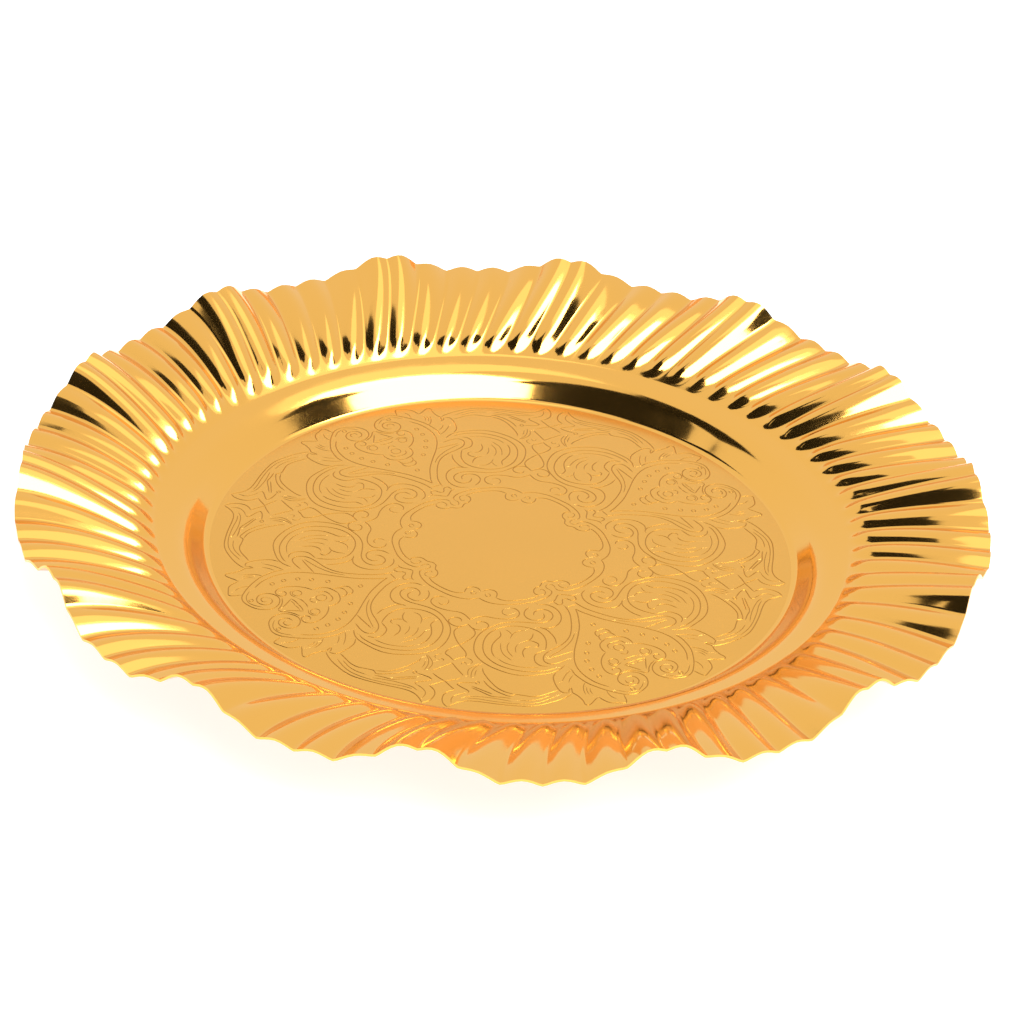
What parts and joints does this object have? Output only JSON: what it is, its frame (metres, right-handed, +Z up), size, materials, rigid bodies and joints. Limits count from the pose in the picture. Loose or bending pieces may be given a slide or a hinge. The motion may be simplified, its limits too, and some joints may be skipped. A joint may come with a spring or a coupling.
{
  "type": "round serving tray",
  "caption": "Round polished brass serving tray with a shallow well, an engraved flat floor, a waved and pleated rim, and rubber pads under the floor.",
  "frame": {"origin": "on the surface that the tray stands on, under the middle of its floor", "axes": "+Z up, square to the floor; +X and +Y along the two straight axes of the engraving"},
  "size_m": [0.3502, 0.3488, 0.0366],
  "materials": {
    "polished_brass": "mirror polished and lacquered, with a finely satined engraved floor",
    "pad_rubber": "matt moulded silicone rubber"
  },
  "bodies": {
    "root": {"tray_body": "polished_brass", "foot_pad_1": "pad_rubber", "foot_pad_2": "pad_rubber", "foot_pad_3": "pad_rubber", "foot_pad_4": "pad_rubber"}
  },
  "joints": []
}
